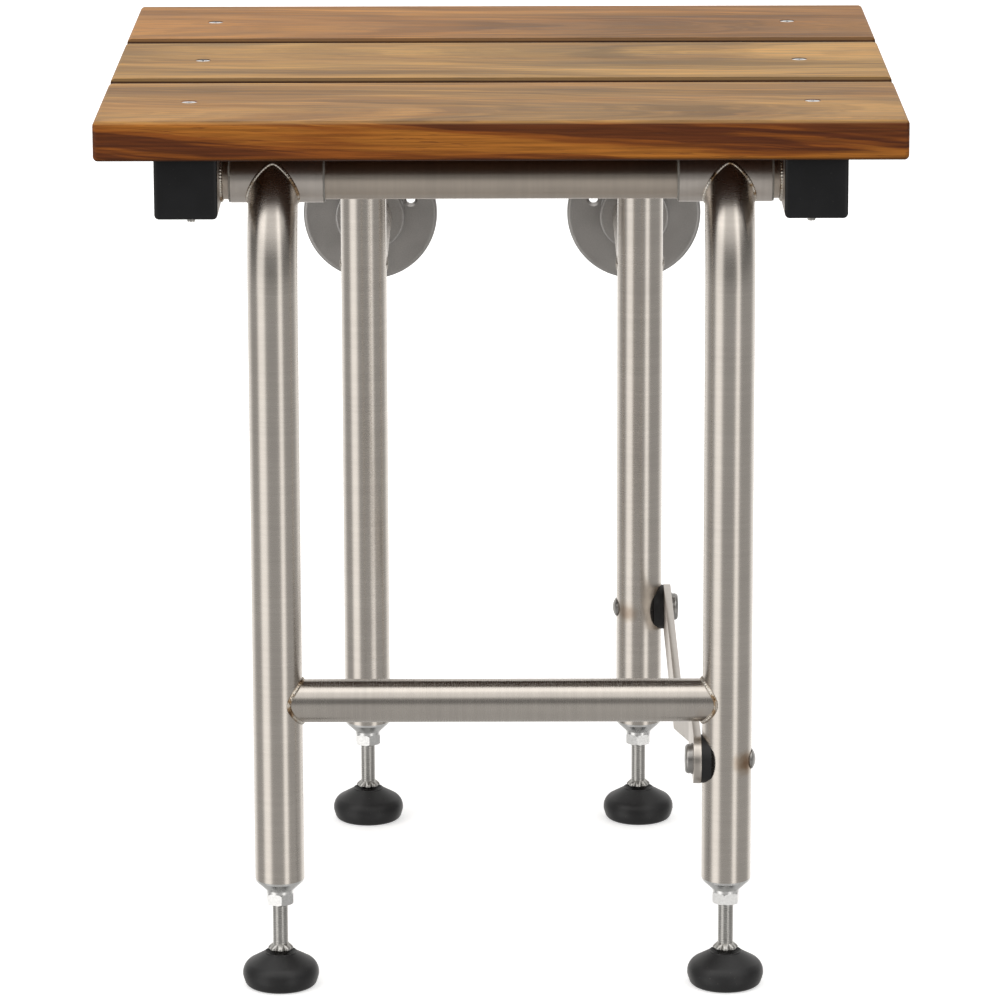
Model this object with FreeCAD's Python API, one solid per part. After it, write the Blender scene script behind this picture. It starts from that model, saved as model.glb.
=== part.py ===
import FreeCAD, Part
import math
import os

# Wall-fixed folding shower stool: three teak slats on two square rails, carried by two bent
# front legs and two bent rear legs. The rear legs are held to the wall by two short arms.
# The seat lifts about its rear cross tube, and a flat link keeps the front legs upright.
#
# Millimetres. X runs across the seat, Y runs back to the wall, Z is up. The origin is on the
# floor, midway across the seat and midway between the seat's front edge and the wall.
# A "depth" is a distance behind the seat's front edge.

V = FreeCAD.Vector
X_AXIS = V(1, 0, 0)
Y_AXIS = V(0, 1, 0)
Z_AXIS = V(0, 0, 1)
SIDES = {"left": -1, "right": 1}

# Driving dimensions
SEAT_WIDTH = 406.4
SEAT_DEPTH = 381.0
SEAT_HEIGHT = 457.2
WALL_REACH = 470.0          # seat's front edge to the wall
LEG_R = 12.7                # 1 inch tube: legs, sleeves and wall arms
BAR_R = 11.1                # 7/8 inch tube: crossbar and cross tubes
FRONT_LEG_X = 115.3
REAR_LEG_X = 77.0
FRONT_LEG_DEPTH = 20.0
LEG_SPACING = 294.0         # front legs to rear legs
LEG_BOTTOM = 58.0

# Slats and rails
SLAT_THICK = 20.3
SLAT_GAP = 12.7
SLAT_EDGE_R = 2.5
SLAT_DEPTH = (SEAT_DEPTH - 2 * SLAT_GAP) / 3
SEAT_UNDERSIDE = SEAT_HEIGHT - SLAT_THICK
RAIL_SIZE = 31.75
RAIL_WALL = 2.0
RAIL_CORNER_R = 2.4
RAIL_X = 158.0
RAIL_FRONT = 16.0
RAIL_BACK = 366.0
RAIL_BOTTOM = SEAT_UNDERSIDE - RAIL_SIZE
RAIL_INNER_X = RAIL_X - RAIL_SIZE / 2
CAP_PLATE = 3.0
CAP_PLUG_LENGTH = 12.0
CAP_PLUG_GAP = 0.1

# Slat screws: M4, countersunk, with a washer and nut under the rail
SCREW_R = 2.0
SCREW_HOLE_R = 2.2
SCREW_HEAD_R = 4.0
SCREW_HEAD_H = 2.2
SCREW_SINK = 0.25
SCREW_HEAD_PLAY = 0.15      # the countersink is this much wider than the head
CROSS_SLOT_LENGTH = 3.6     # cross recess in the head
CROSS_SLOT_WIDTH = 0.9
CROSS_SLOT_DEPTH = 1.2
THREAD_GAP = 0.02           # nut bores clear their screws by this
SCREW_TIP_DROP = 9.6
WASHER_R = 4.5
WASHER_THICK = 0.8
SLAT_NUT_FLATS = 7.0
SLAT_NUT_THICK = 3.2
SLAT_NUT_CHAMFER = 0.5

# Pivots. The rear pair stands PIVOT_RISE above the front pair, so the four make a parallelogram.
PIVOT_RISE = 2.8
SLEEVE_SETBACK = 27.0       # leg's vertical run to the sleeve behind it
SEAT_PIVOT_Z = 420.5
LINK_PIVOT_Z = 121.5
REAR_LEG_DEPTH = FRONT_LEG_DEPTH + LEG_SPACING

# Sleeves, liners and collars
TUBE_WALL = 1.5
SLEEVE_WALL = 1.0
SLEEVE_LENGTH = 46.8
SLEEVE_OFFSET = 1.9         # the sleeve reaches further inward than outward of its leg
LINER_FLANGE = 1.0
LINER_FLANGE_R = 12.4
LINER_CLEARANCE = 0.07      # running fit of liner on cross tube
LINER_SEAT_GAP = 0.02
LINER_LENGTH = 18.7
COLLAR_R = 13.2
COLLAR_WIDTH = 6.0
COLLAR_GAP = 0.5
COLLAR_BORE_GAP = 0.02

# Leg bends
BEND_ANGLE = math.radians(54)
BEND_R = SLEEVE_SETBACK / (1 - math.cos(BEND_ANGLE))
WELD_GAP = 0.03             # coped tube ends stop this far from the tube they meet

# Crossbar and wall fixings
CROSSBAR_Z = 152.9
ARM_Z = 322.0
FLANGE_R = 39.0
FLANGE_THICK = 5.0
FLANGE_RIM = 2.2
BOSS_R = 20.3
BOSS_HEIGHT = 11.0
BOSS_EDGE = 1.5
ARM_SEAT_GAP = 0.05
WALL_HOLE_R = 2.6
WALL_HOLE_SINK_R = 4.0
WALL_HOLE_PCD = 50.0
WALL_HOLE_COUNT = 3
WALL_HOLE_FIRST = math.radians(19)   # first hole above the line towards the middle

# Link bar, joggled from the rear legs' plane to the front legs' plane
LINK_THICK = 4.0
LINK_HEIGHT = 25.4
LINK_REAR_X = 92.9
LINK_FRONT_X = 100.0
JOGGLE_START = 72.0
JOGGLE_END = 96.0
LINK_SIDE_PLAY = 0.1
PIN_R = 4.0
PIN_REACH = 11.7            # shank end beyond the leg's axis
PIN_CLEARANCE = 0.06
PIN_HOLE_R = 4.2
SPACER_R = 12.5
SPACER_GRIP = 4.4           # how far the saddle reaches over the leg's side
BOLT_HEAD_R = 7.6
BOLT_HEAD_H = 3.2
BOLT_CROWN_R = 1.9
BOLT_WASHER_R = 8.0
BOLT_WASHER_THICK = 0.9
SOCKET_FLATS = 5.0
SOCKET_DEPTH = 1.8
BARREL_NUT_R = 4.9
BARREL_NUT_LENGTH = 7.0
BARREL_HOLE_PLAY = 0.05
BARREL_FACE_GAP = 0.2       # the domed head stands this far off the leg
BARREL_NUT_HEAD_R = 5.4
BARREL_NUT_HEAD_H = 1.9

# Levelling feet: M8 stud with a ball end in a swivel base
STUD_R = 4.0
STUD_BORE_R = 4.08
STUD_TOP = 92.0
INSERT_PLUG_R = 11.1
INSERT_TOP = 80.0
INSERT_RIM = 1.2
INSERT_TAPER = 5.0
INSERT_BOSS_R = 7.0
INSERT_RIM_CHAMFER = 0.4
JAM_NUT_FLATS = 13.0
JAM_NUT_TOP = 50.3
JAM_NUT_BOTTOM = 44.4
JAM_NUT_CHAMFER = 0.7
JAM_NUT_TURN = 22.0         # degrees, as it was left when tightened
BALL_Z = 12.2
BALL_R = 4.8
BALL_CLEARANCE = 0.06
NECK_R = 3.0
NECK_TOP = BALL_Z + 5.4
STAR_BOTTOM = BALL_Z + 6.0
STAR_WIDEST_LOW = BALL_Z + 7.2
STAR_WIDEST_HIGH = BALL_Z + 7.8
STAR_TOP = BALL_Z + 10.4
STAR_R = 6.6
STAR_FLUTES = 8
STAR_FLUTE_R = 1.15
STAR_FLUTE_PLACE_R = 6.7
BASE_R = 19.75
BASE_TOP = 18.2
BASE_SHOULDER_Z = 11.3      # the steep side ends here and the cone begins
BASE_SHOULDER_R = 18.0
BASE_LIP_R = 9.2
BASE_THROAT_R = 3.8
BASE_MOUTH_R = 7.7
BASE_MOUTH_DEPTH = 3.0

parts = {}


def at(depth):
    """Y of a point this far behind the seat's front edge."""
    return depth - WALL_REACH / 2


def rod(start, axis, radius, length):
    return Part.makeCylinder(radius, length, start, axis)


def tube(start, axis, radius, inner_radius, length):
    return rod(start, axis, radius, length).cut(rod(start, axis, inner_radius, length))


def cross_rod(x0, x1, depth, z, radius):
    """A rod along X between two X positions."""
    return rod(V(x0, at(depth), z), X_AXIS, radius, x1 - x0)


def soft_box(low, high, radius, axis=None):
    """A box with rounded edges: only those along the axis, or all of them."""
    size = high - low
    box = Part.makeBox(size.x, size.y, size.z, low)
    edges = box.Edges
    if axis is not None:
        edges = [e for e in edges if abs(e.tangentAt(e.FirstParameter).dot(axis)) > 0.9]
    return box.makeFillet(radius, edges)


def rims_at(shape, axis, place):
    """The circular edges whose centre lies at this place along an axis."""
    closed = [e for e in shape.Edges if e.Closed]
    return [e for e in closed if abs(e.CenterOfMass.dot(axis) - place) < 0.01]


def turned(profile, x, depth):
    """A closed outline of (radius, z) points turned about a vertical axis."""
    points = [V(x + r, at(depth), z) for r, z in profile]
    face = Part.Face(Part.makePolygon(points + points[:1]))
    return face.revolve(V(x, at(depth), 0), Z_AXIS, 360)


def hexagon(centre, axis, flats, length):
    """A hexagonal prism from the centre along an axis."""
    prism = Part.Face(Part.Wire(Part.makePolygon([
        V(flats / math.sqrt(3) * math.cos(math.radians(60 * i)),
          flats / math.sqrt(3) * math.sin(math.radians(60 * i)), 0) for i in range(7)
    ]))).extrude(V(0, 0, length))
    prism.Placement = FreeCAD.Placement(centre, FreeCAD.Rotation(Z_AXIS, axis))
    return prism


def hex_nut(centre, axis, flats, length, bore_radius, chamfer):
    """A hexagon nut with both ends chamfered, from the centre along an axis."""
    corner = flats / math.sqrt(3)
    blank = rod(centre, axis, corner, length)
    rims = [e for e in blank.Edges if e.Closed]
    nut = hexagon(centre, axis, flats, length).common(blank.makeChamfer(chamfer, rims))
    return nut.cut(rod(centre, axis, bore_radius, length))


def leg(x, depth, pivot_z):
    """A bent leg tube: up, back round a bend that ends on the sleeve's axis, and coped there."""
    bend_start_z = pivot_z - BEND_R * math.sin(BEND_ANGLE)
    bend_start = V(x, at(depth), bend_start_z)
    wall = Part.Face(Part.Wire(Part.makeCircle(LEG_R, bend_start, Z_AXIS)))
    bore = Part.Face(Part.Wire(Part.makeCircle(LEG_R - TUBE_WALL, bend_start, Z_AXIS)))
    section = wall.cut(bore)
    straight = section.extrude(V(0, 0, LEG_BOTTOM - bend_start_z))
    bend_centre = V(x, at(depth + BEND_R), bend_start_z)
    bend = section.revolve(bend_centre, V(-1, 0, 0), math.degrees(BEND_ANGLE))
    cope_depth = depth + SLEEVE_SETBACK
    cope = cross_rod(x - SLEEVE_LENGTH, x + SLEEVE_LENGTH, cope_depth, pivot_z, LEG_R + WELD_GAP)
    return straight.fuse(bend).removeSplitter().cut(cope)


def sleeve_span(side, leg_x):
    """X of a sleeve's two metal ends, lowest first."""
    middle = side * (leg_x - SLEEVE_OFFSET)
    return middle - SLEEVE_LENGTH / 2, middle + SLEEVE_LENGTH / 2


def add_slats():
    head_top = SEAT_HEIGHT - SCREW_SINK
    head_bottom = head_top - SCREW_HEAD_H
    sink_r = SCREW_HEAD_R + SCREW_HEAD_PLAY
    for index, name in enumerate(("slat_front", "slat_middle", "slat_rear")):
        front = index * (SLAT_DEPTH + SLAT_GAP)
        low = V(-SEAT_WIDTH / 2, at(front), SEAT_UNDERSIDE)
        high = V(SEAT_WIDTH / 2, at(front + SLAT_DEPTH), SEAT_HEIGHT)
        slat = soft_box(low, high, SLAT_EDGE_R)
        for side in SIDES.values():
            x = side * RAIL_X
            y = at(front + SLAT_DEPTH / 2)
            hole = rod(V(x, y, SEAT_UNDERSIDE), Z_AXIS, SCREW_HOLE_R, SLAT_THICK)
            sink = Part.makeCone(SCREW_HOLE_R, sink_r, SCREW_HEAD_H, V(x, y, head_bottom))
            mouth = rod(V(x, y, head_top), Z_AXIS, sink_r, SCREW_HEAD_H)
            slat = slat.cut(hole).cut(sink).cut(mouth)
        parts[name] = slat


def screw_places():
    """X and Y of the six slat screws."""
    places = []
    for index in range(3):
        depth = index * (SLAT_DEPTH + SLAT_GAP) + SLAT_DEPTH / 2
        places += [(side * RAIL_X, at(depth)) for side in SIDES.values()]
    return places


def add_slat_fixings():
    head_top = SEAT_HEIGHT - SCREW_SINK
    head_bottom = head_top - SCREW_HEAD_H
    slot_z = head_top - CROSS_SLOT_DEPTH
    tip = RAIL_BOTTOM - SCREW_TIP_DROP
    screws = []
    washers = []
    nuts = []
    for x, y in screw_places():
        screw = Part.makeCone(SCREW_R, SCREW_HEAD_R, SCREW_HEAD_H, V(x, y, head_bottom))
        screw = screw.fuse(rod(V(x, y, tip), Z_AXIS, SCREW_R, head_bottom - tip))
        for width, length in (
            (CROSS_SLOT_LENGTH, CROSS_SLOT_WIDTH),
            (CROSS_SLOT_WIDTH, CROSS_SLOT_LENGTH),
        ):
            corner = V(x - width / 2, y - length / 2, slot_z)
            screw = screw.cut(Part.makeBox(width, length, CROSS_SLOT_DEPTH, corner))
        screws.append(screw.removeSplitter())
        washer_z = RAIL_BOTTOM - WASHER_THICK
        washers.append(tube(V(x, y, washer_z), Z_AXIS, WASHER_R, SCREW_HOLE_R, WASHER_THICK))
        low = V(x, y, washer_z - SLAT_NUT_THICK)
        bore = SCREW_R + THREAD_GAP
        nuts.append(hex_nut(low, Z_AXIS, SLAT_NUT_FLATS, SLAT_NUT_THICK, bore, SLAT_NUT_CHAMFER))
    parts["slat_screws"] = Part.makeCompound(screws)
    parts["slat_washers"] = Part.makeCompound(washers)
    parts["slat_nuts"] = Part.makeCompound(nuts)


def add_rails():
    half = RAIL_SIZE / 2
    for name, side in SIDES.items():
        x = side * RAIL_X
        low = V(x - half, at(RAIL_FRONT), RAIL_BOTTOM)
        high = V(x + half, at(RAIL_BACK), SEAT_UNDERSIDE)
        wall = V(RAIL_WALL, 0, RAIL_WALL)
        bore_size = RAIL_SIZE - 2 * RAIL_WALL
        bore = Part.makeBox(bore_size, RAIL_BACK - RAIL_FRONT, bore_size, low + wall)
        rail = soft_box(low, high, RAIL_CORNER_R, Y_AXIS).cut(bore)
        for screw_x, screw_y in screw_places():
            rail = rail.cut(rod(V(screw_x, screw_y, RAIL_BOTTOM), Z_AXIS, SCREW_HOLE_R, RAIL_SIZE))
        parts["rail_" + name] = rail
        parts["cap_front_" + name] = rail_cap(x, RAIL_FRONT - CAP_PLATE, RAIL_FRONT)
        parts["cap_rear_" + name] = rail_cap(x, RAIL_BACK, RAIL_BACK - CAP_PLUG_LENGTH)


def rail_cap(x, plate_depth, plug_depth):
    """An end cap: a cover plate the size of the rail and a plug that fills its bore."""
    half = RAIL_SIZE / 2
    low = V(x - half, at(plate_depth), RAIL_BOTTOM)
    high = V(x + half, at(plate_depth + CAP_PLATE), SEAT_UNDERSIDE)
    plate = soft_box(low, high, RAIL_CORNER_R, Y_AXIS)
    inset = RAIL_WALL + CAP_PLUG_GAP
    width = RAIL_SIZE - 2 * inset
    corner = V(x - width / 2, at(plug_depth), RAIL_BOTTOM + inset)
    plug = Part.makeBox(width, CAP_PLUG_LENGTH, width, corner)
    return plate.fuse(plug).removeSplitter()


def add_cross_tubes():
    places = {
        "front_cross_tube": (FRONT_LEG_DEPTH + SLEEVE_SETBACK, SEAT_PIVOT_Z),
        "rear_cross_tube": (REAR_LEG_DEPTH + SLEEVE_SETBACK, SEAT_PIVOT_Z + PIVOT_RISE),
    }
    for name, (depth, z) in places.items():
        start = V(-RAIL_INNER_X, at(depth), z)
        parts[name] = tube(start, X_AXIS, BAR_R, BAR_R - TUBE_WALL, 2 * RAIL_INNER_X)


def add_rear_collars():
    """Rings on the rear cross tube, one at each end of each rear sleeve."""
    depth = REAR_LEG_DEPTH + SLEEVE_SETBACK
    z = SEAT_PIVOT_Z + PIVOT_RISE
    collars = []
    for side in SIDES.values():
        low, high = sleeve_span(side, REAR_LEG_X)
        reach = LINER_FLANGE + COLLAR_GAP
        for start in (low - reach - COLLAR_WIDTH, high + reach):
            place = V(start, at(depth), z)
            collars.append(tube(place, X_AXIS, COLLAR_R, BAR_R + COLLAR_BORE_GAP, COLLAR_WIDTH))
    parts["sleeve_collars"] = Part.makeCompound(collars)


def add_sleeves(end, leg_x, depth, z):
    """The two sleeves of one leg frame, with a flanged liner in each end."""
    liners = []
    bore = LEG_R - SLEEVE_WALL
    liner_inner = BAR_R + LINER_CLEARANCE
    for name, side in SIDES.items():
        low, high = sleeve_span(side, leg_x)
        start = V(low, at(depth), z)
        parts[end + "_sleeve_" + name] = tube(start, X_AXIS, LEG_R, bore, SLEEVE_LENGTH)
        for mouth, flange_start, barrel_start in (
            (low, low - LINER_FLANGE, low),
            (high, high, high - LINER_LENGTH),
        ):
            flange = rod(V(flange_start, at(depth), z), X_AXIS, LINER_FLANGE_R, LINER_FLANGE)
            barrel = rod(V(barrel_start, at(depth), z), X_AXIS, bore - LINER_SEAT_GAP, LINER_LENGTH)
            hole = cross_rod(mouth - SLEEVE_LENGTH, mouth + SLEEVE_LENGTH, depth, z, liner_inner)
            liners.append(flange.fuse(barrel).cut(hole).removeSplitter())
    parts[end + "_liners"] = Part.makeCompound(liners)


def pin_holes(shape, depth, z):
    """Both walls of a right-hand leg drilled for a link bolt and its barrel nut."""
    return shape.cut(cross_rod(0, SEAT_WIDTH / 2, depth, z, BARREL_NUT_R + BARREL_HOLE_PLAY))


def add_legs():
    for name, side in SIDES.items():
        front = leg(side * FRONT_LEG_X, FRONT_LEG_DEPTH, SEAT_PIVOT_Z)
        rear = leg(side * REAR_LEG_X, REAR_LEG_DEPTH, SEAT_PIVOT_Z + PIVOT_RISE)
        if name == "right":
            front = pin_holes(front, FRONT_LEG_DEPTH, LINK_PIVOT_Z)
            rear = pin_holes(rear, REAR_LEG_DEPTH, LINK_PIVOT_Z + PIVOT_RISE)
        parts["front_leg_" + name] = front
        parts["rear_leg_" + name] = rear


def add_crossbar():
    start = V(-FRONT_LEG_X, at(FRONT_LEG_DEPTH), CROSSBAR_Z)
    bar = tube(start, X_AXIS, BAR_R, BAR_R - TUBE_WALL, 2 * FRONT_LEG_X)
    for side in SIDES.values():
        foot = V(side * FRONT_LEG_X, at(FRONT_LEG_DEPTH), LEG_BOTTOM)
        bar = bar.cut(rod(foot, Z_AXIS, LEG_R + WELD_GAP, SEAT_HEIGHT - LEG_BOTTOM))
    parts["front_crossbar"] = bar


def add_wall_arms():
    for name, side in SIDES.items():
        x = side * REAR_LEG_X
        length = WALL_REACH - FLANGE_THICK - REAR_LEG_DEPTH
        arm = tube(V(x, at(REAR_LEG_DEPTH), ARM_Z), Y_AXIS, LEG_R, LEG_R - TUBE_WALL, length)
        cope = rod(V(x, at(REAR_LEG_DEPTH), ARM_Z - 2 * LEG_R), Z_AXIS, LEG_R + WELD_GAP, 4 * LEG_R)
        parts["wall_arm_" + name] = arm.cut(cope)
        parts["wall_flange_" + name] = wall_flange(x, side)


def wall_flange(x, side):
    """A round wall plate with a raised boss for the arm and countersunk screw holes."""
    face = WALL_REACH - FLANGE_THICK
    plate = rod(V(x, at(face), ARM_Z), Y_AXIS, FLANGE_R, FLANGE_THICK)
    plate = plate.makeFillet(FLANGE_RIM, rims_at(plate, Y_AXIS, at(face)))
    top = V(x, at(face - BOSS_HEIGHT), ARM_Z)
    boss = rod(top, Y_AXIS, BOSS_R, BOSS_HEIGHT)
    boss = boss.makeFillet(BOSS_EDGE, rims_at(boss, Y_AXIS, top.y))
    seat = rod(top, Y_AXIS, LEG_R + ARM_SEAT_GAP, BOSS_HEIGHT)
    flange = plate.fuse(boss).cut(seat).removeSplitter()
    for index in range(WALL_HOLE_COUNT):
        angle = WALL_HOLE_FIRST + 2 * math.pi * index / WALL_HOLE_COUNT
        hole_x = x - side * WALL_HOLE_PCD / 2 * math.cos(angle)
        hole_z = ARM_Z + WALL_HOLE_PCD / 2 * math.sin(angle)
        centre = V(hole_x, at(face), hole_z)
        sink_depth = WALL_HOLE_SINK_R - WALL_HOLE_R
        flange = flange.cut(rod(centre, Y_AXIS, WALL_HOLE_R, FLANGE_THICK))
        flange = flange.cut(Part.makeCone(WALL_HOLE_SINK_R, WALL_HOLE_R, sink_depth, centre, Y_AXIS))
    return flange


def add_link_bar():
    """The flat link: built level from the front pivot, then tilted up to the rear pivot."""
    length = math.hypot(LEG_SPACING, PIVOT_RISE)
    end_r = LINK_HEIGHT / 2
    half = LINK_THICK / 2
    bends = [
        (LINK_FRONT_X, -end_r),
        (LINK_FRONT_X, JOGGLE_START),
        (LINK_REAR_X, JOGGLE_END),
        (LINK_REAR_X, length + end_r),
    ]
    outline = [V(x - half, y, -end_r) for x, y in bends]
    outline += [V(x + half, y, -end_r) for x, y in reversed(bends)]
    strip = Part.Face(Part.makePolygon(outline + outline[:1])).extrude(V(0, 0, LINK_HEIGHT))
    shape = Part.makeBox(SEAT_WIDTH, length, LINK_HEIGHT, V(0, 0, -end_r))
    for y in (0, length):
        shape = shape.fuse(rod(V(0, y, 0), X_AXIS, end_r, SEAT_WIDTH))
    bar = strip.common(shape)
    for y in (0, length):
        bar = bar.cut(rod(V(0, y, 0), X_AXIS, PIN_R + PIN_CLEARANCE, SEAT_WIDTH))
    tilt = math.degrees(math.atan2(PIVOT_RISE, LEG_SPACING))
    front_pivot = V(0, at(FRONT_LEG_DEPTH), LINK_PIVOT_Z)
    bar.Placement = FreeCAD.Placement(front_pivot, FreeCAD.Rotation(X_AXIS, tilt))
    parts["link_bar"] = bar


def add_link_pivot(end, leg_x, link_x, depth, z):
    """Bolt, washer, saddle spacer and barrel nut of one link pivot."""
    outward = 1 if link_x > leg_x else -1
    away = V(outward, 0, 0)

    def along(distance):
        return V(leg_x + outward * distance, at(depth), z)

    inner_face = abs(link_x - leg_x) - LINK_THICK / 2 - LINK_SIDE_PLAY
    outer_face = inner_face + LINK_THICK + 2 * LINK_SIDE_PLAY
    spacer_start = LEG_R - SPACER_GRIP
    spacer = rod(along(spacer_start), away, SPACER_R, inner_face - spacer_start)
    leg_body = rod(V(leg_x, at(depth), z - 2 * LEG_R), Z_AXIS, LEG_R + WELD_GAP, 4 * LEG_R)
    spacer = spacer.cut(leg_body).cut(rod(along(0), away, PIN_HOLE_R, inner_face))
    parts[end + "_link_spacer"] = spacer

    washer = tube(along(outer_face), away, BOLT_WASHER_R, PIN_HOLE_R, BOLT_WASHER_THICK)
    parts[end + "_link_washer"] = washer

    head_start = outer_face + BOLT_WASHER_THICK
    head = rod(along(head_start), away, BOLT_HEAD_R, BOLT_HEAD_H)
    crown = rims_at(head, X_AXIS, along(head_start + BOLT_HEAD_H).x)
    head = head.makeFillet(BOLT_CROWN_R, crown)
    socket = hexagon(along(head_start + BOLT_HEAD_H - SOCKET_DEPTH), away, SOCKET_FLATS, SOCKET_DEPTH)
    shank = rod(along(-PIN_REACH), away, PIN_R, head_start + PIN_REACH)
    parts[end + "_link_bolt"] = head.cut(socket).fuse(shank).removeSplitter()

    head_face = -LEG_R - BARREL_FACE_GAP
    barrel = rod(along(head_face), away, BARREL_NUT_R, BARREL_NUT_LENGTH)
    dome_r = (BARREL_NUT_HEAD_R ** 2 + BARREL_NUT_HEAD_H ** 2) / (2 * BARREL_NUT_HEAD_H)
    dome_top = head_face - BARREL_NUT_HEAD_H
    dome = Part.makeSphere(dome_r, along(dome_top + dome_r))
    dome = dome.common(rod(along(dome_top), away, BARREL_NUT_HEAD_R, BARREL_NUT_HEAD_H))
    bore = rod(along(-PIN_REACH), away, PIN_R + THREAD_GAP, BARREL_NUT_LENGTH)
    parts[end + "_link_nut"] = barrel.fuse(dome).cut(bore).removeSplitter()


def leg_insert(x, depth):
    """A plug in the leg's foot with a rim below it, bored for the stud."""
    rim_bottom = LEG_BOTTOM - INSERT_RIM
    return turned([
        (STUD_BORE_R, INSERT_TOP),
        (INSERT_PLUG_R, INSERT_TOP),
        (INSERT_PLUG_R, LEG_BOTTOM),
        (LEG_R, LEG_BOTTOM),
        (LEG_R - INSERT_RIM_CHAMFER, rim_bottom),
        (INSERT_BOSS_R, rim_bottom - INSERT_TAPER),
        (INSERT_BOSS_R, JAM_NUT_TOP),
        (STUD_BORE_R, JAM_NUT_TOP),
    ], x, depth)


def stud(x, depth):
    """A levelling stud: plain rod, fluted star collar, neck and ball."""
    rod_part = rod(V(x, at(depth), STAR_WIDEST_HIGH), Z_AXIS, STUD_R, STUD_TOP - STAR_WIDEST_HIGH)
    star = turned([
        (0, STAR_TOP),
        (STUD_R, STAR_TOP),
        (STAR_R, STAR_WIDEST_HIGH),
        (STAR_R, STAR_WIDEST_LOW),
        (STUD_R, STAR_BOTTOM),
        (NECK_R, NECK_TOP),
        (NECK_R, BALL_Z),
        (0, BALL_Z),
    ], x, depth)
    for index in range(STAR_FLUTES):
        angle = 2 * math.pi * (index + 0.5) / STAR_FLUTES
        flute_x = x + STAR_FLUTE_PLACE_R * math.cos(angle)
        flute_y = at(depth) + STAR_FLUTE_PLACE_R * math.sin(angle)
        flute = V(flute_x, flute_y, STAR_BOTTOM)
        star = star.cut(rod(flute, Z_AXIS, STAR_FLUTE_R, STAR_TOP - STAR_BOTTOM))
    ball = Part.makeSphere(BALL_R, V(x, at(depth), BALL_Z))
    return rod_part.fuse(star).fuse(ball).removeSplitter()


def foot_base(x, depth):
    """A bell-shaped base with a socket that holds the stud's ball."""
    bell = turned([
        (0, 0),
        (BASE_R - 1.6, 0),
        (BASE_R - 0.5, 1.2),
        (BASE_R, 3.5),
        (BASE_R, 7.0),
        (BASE_R - 0.5, 9.4),
        (BASE_SHOULDER_R, BASE_SHOULDER_Z),
        (BASE_LIP_R, BASE_TOP - 0.6),
        (BASE_LIP_R - 0.9, BASE_TOP),
        (0, BASE_TOP),
    ], x, depth)
    socket = Part.makeSphere(BALL_R + BALL_CLEARANCE, V(x, at(depth), BALL_Z))
    throat_z = BASE_TOP - BASE_MOUTH_DEPTH
    throat = rod(V(x, at(depth), BALL_Z), Z_AXIS, BASE_THROAT_R, throat_z - BALL_Z)
    mouth_low = V(x, at(depth), throat_z)
    mouth = Part.makeCone(BASE_THROAT_R, BASE_MOUTH_R, BASE_MOUTH_DEPTH, mouth_low)
    return bell.cut(socket).cut(throat).cut(mouth)


def add_feet():
    for end, leg_x, depth in (
        ("front", FRONT_LEG_X, FRONT_LEG_DEPTH),
        ("rear", REAR_LEG_X, REAR_LEG_DEPTH),
    ):
        nuts = []
        height = JAM_NUT_TOP - JAM_NUT_BOTTOM
        for name, side in SIDES.items():
            x = side * leg_x
            parts["insert_{}_{}".format(end, name)] = leg_insert(x, depth)
            parts["stud_{}_{}".format(end, name)] = stud(x, depth)
            parts["foot_base_{}_{}".format(end, name)] = foot_base(x, depth)
            centre = V(x, at(depth), JAM_NUT_BOTTOM)
            nut = hex_nut(centre, Z_AXIS, JAM_NUT_FLATS, height, STUD_BORE_R, JAM_NUT_CHAMFER)
            nut.rotate(centre, Z_AXIS, side * JAM_NUT_TURN)
            nuts.append(nut)
        parts[end + "_jam_nuts"] = Part.makeCompound(nuts)


add_slats()
add_slat_fixings()
add_rails()
add_cross_tubes()
add_rear_collars()
add_sleeves("front", FRONT_LEG_X, FRONT_LEG_DEPTH + SLEEVE_SETBACK, SEAT_PIVOT_Z)
add_sleeves("rear", REAR_LEG_X, REAR_LEG_DEPTH + SLEEVE_SETBACK, SEAT_PIVOT_Z + PIVOT_RISE)
add_legs()
add_crossbar()
add_wall_arms()
add_link_bar()
add_link_pivot("front", FRONT_LEG_X, LINK_FRONT_X, FRONT_LEG_DEPTH, LINK_PIVOT_Z)
add_link_pivot("rear", REAR_LEG_X, LINK_REAR_X, REAR_LEG_DEPTH, LINK_PIVOT_Z + PIVOT_RISE)
add_feet()

os.makedirs("parts", exist_ok=True)
for part_name, part_shape in parts.items():
    part_shape.exportStep("parts/" + part_name + ".step")
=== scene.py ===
import bmesh
import bpy
import math
import random
from mathutils import Matrix, Vector


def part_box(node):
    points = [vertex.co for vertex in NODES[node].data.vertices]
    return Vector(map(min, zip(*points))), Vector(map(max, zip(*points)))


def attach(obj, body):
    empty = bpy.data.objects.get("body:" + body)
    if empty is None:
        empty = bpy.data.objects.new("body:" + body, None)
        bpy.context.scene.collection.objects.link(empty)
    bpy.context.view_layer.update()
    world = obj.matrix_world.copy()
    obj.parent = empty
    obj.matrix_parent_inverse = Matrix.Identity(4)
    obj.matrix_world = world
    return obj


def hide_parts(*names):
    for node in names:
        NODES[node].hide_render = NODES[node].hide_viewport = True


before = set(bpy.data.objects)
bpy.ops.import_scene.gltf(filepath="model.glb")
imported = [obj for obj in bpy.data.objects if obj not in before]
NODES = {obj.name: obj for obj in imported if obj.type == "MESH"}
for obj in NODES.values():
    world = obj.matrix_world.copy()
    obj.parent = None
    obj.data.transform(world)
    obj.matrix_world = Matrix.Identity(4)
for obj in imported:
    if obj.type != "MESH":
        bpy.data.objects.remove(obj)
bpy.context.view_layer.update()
SIDES = ("left", "right")
ENDS = ("front", "rear")
MM = 0.001


# ---------------------------------------------------------------- places taken from the frame

def middle(node):
    low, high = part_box(node)
    return (low + high) / 2


def size(node):
    low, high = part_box(node)
    return high - low


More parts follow.
